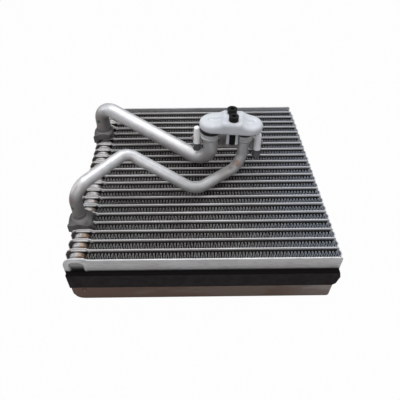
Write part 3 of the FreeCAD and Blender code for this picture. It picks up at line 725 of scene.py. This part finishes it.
def make_tube(index, materials):
    y = stack_y(index)
    bm = bmesh.new()
    offsets = (lambda x, z: y - tube_half_height(x, z), lambda x, z: y + tube_half_height(x, z))
    add_pressed_pair(bm, offsets, plate_columns(), plate_rows())
    for z in CUP_HEIGHTS:
        for side in (-1, 1):
            add_cup(bm, cup_profile(TUBE_THICKNESS / 2), y, z, side)
    add_ribbon(bm, lip_path(y), LIP_SHEET, LIP_EDGE_MARGIN, CORE_DEPTH - LIP_EDGE_MARGIN)
    mark_plate_faces(bm, y, TUBE_THICKNESS / 2)
    piece = new_piece("plate_pair_%02d" % index, bm, materials)
    settle(piece, "tube_plates", "tube_%02d" % index)


def make_end_plate(index, inward, node, materials):
    """Closing plate: its outer face has the upper cup's dish, in a raised ring, and a dimple."""
    y = stack_y(index)
    half = END_PLATE_THICKNESS / 2
    low, high = CUP_HEIGHTS

    def half_height(x, z):
        return half * (0.6 + 0.4 * smooth(0.0, 0.4, edge_distance(x, z)))

    def outer_face(x, z):
        inset = cup_inset(x, z, high) - CUP_DISH_RIM
        dish = (END_PLATE_THICKNESS + CUP_DISH_DEPTH) * smooth(-0.3, 1.3, inset)
        ring = DISH_RING_RISE * smooth(-3.4, -2.2, inset) * (1 - smooth(-1.4, -0.2, inset))
        from_dimple = math.hypot(x - CUP_X, z - low)
        dimple = CUP_DISH_DEPTH * (1 - smooth(CUP_DIMPLE_RADIUS - 1.2, CUP_DIMPLE_RADIUS, from_dimple))
        return y - inward * (half_height(x, z) - dish + ring - dimple)

    def inner_face(x, z):
        return y + inward * half_height(x, z)

    bm = bmesh.new()
    dish_columns = [k * 0.65 for k in range(1, 34)]
    dish_rows = [low - 3.6 + k * 0.6 for k in range(13)] + [high - 15.4 + k * 0.6 for k in range(52)]
    dish_rows = [z for z in dish_rows if z < CORE_DEPTH - 3.6]
    add_pressed_pair(bm, (outer_face, inner_face), plate_columns(dish_columns), plate_rows(dish_rows))
    for z in CUP_HEIGHTS:
        add_cup(bm, cup_profile(half), y, z, inward)
    for face in bm.faces:
        if inward * (face.calc_center_median().y - y) > half + 0.02:
            face.material_index = 1
    piece = new_piece(node + "_pressing", bm, materials)
    settle(piece, "end_plates", node)


# Fins


def fin_path(front, back):
    """Rounded zigzag between the two walls of a gap."""
    start = CUP_X + CUP_WIDTH / 2 + FIN_TANK_MARGIN
    end = X_TURN - FIN_TURN_MARGIN
    step = (end - start) / FIN_LEGS
    inset = FIN_SHEET / 2
    low = front + inset
    high = back - inset
    points = []
    for leg in range(FIN_LEGS):
        x = start + (leg + 0.5) * step
        a, b = (low, high) if leg % 2 == 0 else (high, low)
        toward = 1 if b > a else -1
        points.append((x - 0.2 * step, a + toward * FIN_BEND))
        points.append((x + 0.2 * step, b - toward * FIN_BEND))
        points.append((x + 0.32 * step, b - toward * FIN_CREST))
        points.append((x + 0.5 * step, b))
        points.append((x + 0.68 * step, b - toward * FIN_CREST))
    return points[:-2]


def make_fin(index, material):
    front_half = END_PLATE_THICKNESS / 2 if index == 0 else TUBE_THICKNESS / 2
    back_half = END_PLATE_THICKNESS / 2 if index == TUBE_COUNT else TUBE_THICKNESS / 2
    front = stack_y(index) + front_half
    back = stack_y(index + 1) - back_half
    bm = bmesh.new()
    add_ribbon(bm, fin_path(front, back), FIN_SHEET, FIN_RECESS, CORE_DEPTH - FIN_RECESS)
    piece = new_piece("louvred_fin_%02d" % (index + 1), bm, [material], 50)
    settle(piece, "fins", "fin_%02d" % (index + 1))


# Foam strip


def foam_end(z):
    """X of the trimmed end at a height."""
    end = X_TURN + FOAM_END_OVERHANG
    stops = (
        (0.0, end - FOAM_LOW_TAPER), (1 / 6, end - FOAM_TOP_TAPER), (2 / 3, end), (1.0, end - FOAM_TOP_TAPER),
    )
    share = (z - FOAM_BOTTOM) / FOAM_HEIGHT
    for (a, x_a), (b, x_b) in zip(stops, stops[1:]):
        if share <= b:
            return x_a + (x_b - x_a) * (share - a) / (b - a)
    return stops[-1][1]


def foam_section():
    """(depth behind the front face, height) points round the strip, with soft front corners."""
    back = FOAM_THICKNESS
    high = FOAM_BOTTOM + FOAM_HEIGHT
    points = [(back, FOAM_BOTTOM + 0.02)]
    for k in range(5):
        angle = math.pi / 2 * k / 4
        points.append((FOAM_SOFT * (1 - math.sin(angle)), FOAM_BOTTOM + FOAM_SOFT * (1 - math.cos(angle))))
    points += [(0.0, FOAM_BOTTOM + FOAM_HEIGHT * k / 12) for k in range(1, 12)]
    for k in range(5):
        angle = math.pi / 2 * k / 4
        points.append((FOAM_SOFT * (1 - math.cos(angle)), high - FOAM_SOFT * (1 - math.sin(angle))))
    points += [(back * k / 4, high) for k in (1, 2, 3, 4)]
    return points


def make_foam(material):
    """Strip of soft foam: rounded front edges and a slightly uneven face."""
    front = Y_FRONT - END_PLATE_THICKNESS / 2 - FOAM_THICKNESS
    start = X_TANK + FOAM_START
    section = foam_section()
    bm = bmesh.new()
    rings = []
    for k in range(FOAM_STATIONS + 1):
        ring = []
        for depth, z in section:
            end = foam_end(z)
            x = start + (end - start) * k / FOAM_STATIONS
            free = 1 - depth / FOAM_THICKNESS
            dent = FOAM_DENT * free * (0.5 + 0.5 * noise.noise(Vector((x * 0.11, depth * 0.3, z * 0.16))))
            sag = FOAM_SAG * free * noise.noise(Vector((x * 0.02, 3.7, 0.4)))
            low_enough = min(z + sag, FOAM_BOTTOM + FOAM_HEIGHT)
            ring.append(bm.verts.new((x, front + depth + dent, low_enough)))
        rings.append(ring)
    for a, b in zip(rings, rings[1:]):
        for k in range(len(section)):
            n = (k + 1) % len(section)
            bm.faces.new((a[k], a[n], b[n], b[k]))
    bm.faces.new(rings[0])
    bm.faces.new(rings[-1][::-1])
    piece = new_piece("foam_seal", bm, [material], 50)
    settle(piece, "foam", "foam_strip")


# Cap


def make_cap(material):
    """Soft moulded copy of the cap's form, its hub running out in longer slopes to both lobes."""
    blank = bpy.data.objects.new("cap_blank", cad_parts["shipping_cap"].data.copy())
    bpy.context.scene.collection.objects.link(blank)
    remesh = blank.modifiers.new("remesh", "REMESH")
    remesh.mode = "VOXEL"
    remesh.voxel_size = CAP_GRAIN * MM
    evaluated = blank.evaluated_get(bpy.context.evaluated_depsgraph_get())
    fine = bpy.data.meshes.new_from_object(evaluated)
    bpy.data.objects.remove(blank)
    bm = bmesh.new()
    bm.from_mesh(fine)
    bmesh.ops.scale(bm, vec=(1 / MM, 1 / MM, 1 / MM), verts=bm.verts)
    top = max(vert.co.z for vert in bm.verts)
    lobe = top - CAP_HUB_RISE
    hub = [vert.co for vert in bm.verts if vert.co.z > top - 0.3]
    middle = sum(hub, Vector()) / len(hub)
    turn = math.radians(PORT_TURN)
    for vert in bm.verts:
        offset = vert.co - middle
        along = offset.x * math.cos(turn) + offset.y * math.sin(turn)
        across = offset.y * math.cos(turn) - offset.x * math.sin(turn)
        from_hub = abs(along)
        old = max(0.0, min(1.0, (CAP_HUB_HALF + CAP_HUB_SLOPE - from_hub) / CAP_HUB_SLOPE))
        new = 1 - smooth(CAP_SOFT_START, CAP_SOFT_END, from_hub)
        share = smooth(lobe - 5.5, lobe, vert.co.z)
        from_middle = (abs(along - CAP_OFFSET) - CAP_DISH_OFFSET) / CAP_DISH_LENGTH
        from_dish = math.hypot(from_middle, across / CAP_DISH_WIDTH)
        dish = CAP_DISH_DEPTH * (1 - smooth(0.35, 1.0, from_dish))
        vert.co.z += (CAP_HUB_RISE * (new - old) - dish) * share
    upper = [vert for vert in bm.verts if vert.co.z > lobe - 5]
    for verts, rounds in ((bm.verts, 4), (upper, CAP_SOFT_ROUNDS)):
        for _ in range(rounds):
            bmesh.ops.smooth_vert(
                bm, verts=verts, factor=0.5, use_axis_x=True, use_axis_y=True, use_axis_z=True)
    piece = new_piece("moulded_cap", bm, [material], 60)
    settle(piece, "cap", "shipping_cap")


# Camera, floor and light


def make_camera():
    pitch = math.radians(CAMERA_PITCH)
    yaw = math.radians(CAMERA_YAW)
    roll = math.radians(CAMERA_ROLL)
    forward = Vector((math.sin(yaw) * math.cos(pitch), math.cos(yaw) * math.cos(pitch), -math.sin(pitch)))
    level = Vector((math.cos(yaw), -math.sin(yaw), 0))
    above = level.cross(forward)
    right = math.cos(roll) * level + math.sin(roll) * above
    up = -math.sin(roll) * level + math.cos(roll) * above
    data = bpy.data.cameras.new("camera")
    data.sensor_width = SENSOR
    data.lens = FOCAL_PIXELS / IMAGE_SIDE * SENSOR
    data.shift_x = (IMAGE_SIDE / 2 - PRINCIPAL_X) / IMAGE_SIDE
    data.clip_start = 0.01
    data.clip_end = 10
    camera = bpy.data.objects.new("camera", data)
    place = Vector(CAMERA_PLACE) * MM
    camera.matrix_world = Matrix((
        (right.x, up.x, -forward.x, place.x),
        (right.y, up.y, -forward.y, place.y),
        (right.z, up.z, -forward.z, place.z),
        (0, 0, 0, 1),
    ))
    bpy.context.scene.collection.objects.link(camera)
    bpy.context.scene.camera = camera


def backdrop_share(nodes, links, camera_share, reflected_share):
    """How much of the plain backdrop a ray sees: most for the camera, part of it in reflections."""
    path = nodes.new("ShaderNodeLightPath")
    seen = add_math(nodes, links, "MULTIPLY", path.outputs["Is Camera Ray"], camera_share)
    reflected = add_math(
        nodes, links, "ADD", path.outputs["Is Glossy Ray"], path.outputs["Is Transmission Ray"])
    reflected = add_math(nodes, links, "MULTIPLY", reflected, reflected_share)
    return add_math(nodes, links, "ADD", seen, reflected)


def make_floor():
    """Grey sheet that is nearly white to the camera and keeps a faint shadow."""
    side = FLOOR_HALF_SIDE
    mesh = bpy.data.meshes.new("floor")
    corners = [(-side, -side), (side, -side), (side, side), (-side, side)]
    mesh.from_pydata([(x, y, cad_low.z - FLOOR_GAP * MM) for x, y in corners], [], [(0, 1, 2, 3)])
    floor = bpy.data.objects.new("floor", mesh)
    bpy.context.scene.collection.objects.link(floor)
    material, nodes, links, surface = new_material("floor")
    surface.inputs["Base Color"].default_value = (*FLOOR_COLOUR, 1)
    surface.inputs["Roughness"].default_value = 0.9
    glow = nodes.new("ShaderNodeEmission")
    glow.inputs["Color"].default_value = (1, 1, 1, 1)
    glow.inputs["Strength"].default_value = 1.0
    mix = nodes.new("ShaderNodeMixShader")
    links.new(backdrop_share(nodes, links, 0.98, 0.12), mix.inputs["Fac"])
    links.new(surface.outputs["BSDF"], mix.inputs[1])
    links.new(glow.outputs["Emission"], mix.inputs[2])
    links.new(mix.outputs["Shader"], nodes["Material Output"].inputs["Surface"])
    mesh.materials.append(material)


def make_world():
    world = bpy.data.worlds.new("studio")
    bpy.context.scene.world = world
    world.use_nodes = True
    nodes = world.node_tree.nodes
    links = world.node_tree.links
    background = nodes["Background"]
    coords = nodes.new("ShaderNodeTexCoord")
    split = nodes.new("ShaderNodeSeparateXYZ")
    links.new(coords.outputs["Generated"], split.inputs["Vector"])
    height = nodes.new("ShaderNodeMapRange")
    height.inputs["From Min"].default_value = -1
    links.new(split.outputs["Z"], height.inputs["Value"])
    sky = add_ramp(nodes, links, height.outputs["Result"], SKY_STOPS)
    white = nodes.new("ShaderNodeBackground")
    white.inputs["Color"].default_value = (1, 1, 1, 1)
    mix = nodes.new("ShaderNodeMixShader")
    links.new(sky, background.inputs["Color"])
    links.new(backdrop_share(nodes, links, 1.0, 0.12), mix.inputs["Fac"])
    links.new(background.outputs["Background"], mix.inputs[1])
    links.new(white.outputs["Background"], mix.inputs[2])
    links.new(mix.outputs["Shader"], nodes["World Output"].inputs["Surface"])


def add_softbox(name, place, target, width, height, power):
    data = bpy.data.lights.new(name, "AREA")
    data.shape = "RECTANGLE"
    data.size = width
    data.size_y = height
    data.energy = power
    light = bpy.data.objects.new(name, data)
    light.location = Vector(place)
    direction = Vector(target) - Vector(place)
    light.rotation_mode = "QUATERNION"
    light.rotation_quaternion = direction.to_track_quat("-Z", "Y")
    bpy.context.scene.collection.objects.link(light)


def make_lights():
    add_softbox("overhead", (-0.05, 0.05, 1.05), (0, 0, 0), 1.3, 0.7, 8.0)
    add_softbox("left", (-1.0, 0.1, 0.45), (0, 0, 0.08), 0.5, 0.5, 1.6)
    add_softbox("right", (1.0, 0.0, 0.5), (0, 0, 0.08), 0.4, 0.4, 0.8)
    add_softbox("front", (0.0, -1.0, 0.7), (0, 0, 0.04), 0.9, 0.5, 2.5)


def main():
    materials = make_materials()
    for index in range(1, TUBE_COUNT + 1):
        make_tube(index, [materials["tube"], materials["wall"], materials["cup"]])
    for index in range(TUBE_COUNT + 1):
        make_fin(index, materials["fin"])
    make_end_plate(0, 1, "front_end_plate", [materials["end"], materials["cup"]])
    make_end_plate(STACK_PITCHES, -1, "rear_end_plate", [materials["end"], materials["cup"]])
    make_foam(materials["foam"])
    make_cap(materials["cap"])
    kept = {
        "suction_pipe": "suction",
        "liquid_pipe": "liquid",
        "suction_collar": "collar",
        "liquid_collar": "collar",
        "retaining_plate": "plate",
        "suction_seal_ring": "seal",
        "liquid_seal_ring": "seal",
        "front_cap_screw": "screw",
        "rear_cap_screw": "screw",
        "left_stud": "stud",
        "right_stud": "stud",
        "left_thread_protector": "protector",
        "right_thread_protector": "protector",
    }
    for node, key in kept.items():
        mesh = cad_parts[node].data
        mesh.materials.clear()
        mesh.materials.append(materials[key])
        mesh.shade_smooth()
        mesh.set_sharp_from_angle(angle=math.radians(30))
    make_camera()
    make_floor()
    make_world()
    make_lights()
    bpy.context.scene.view_settings.view_transform = "Standard"


main()
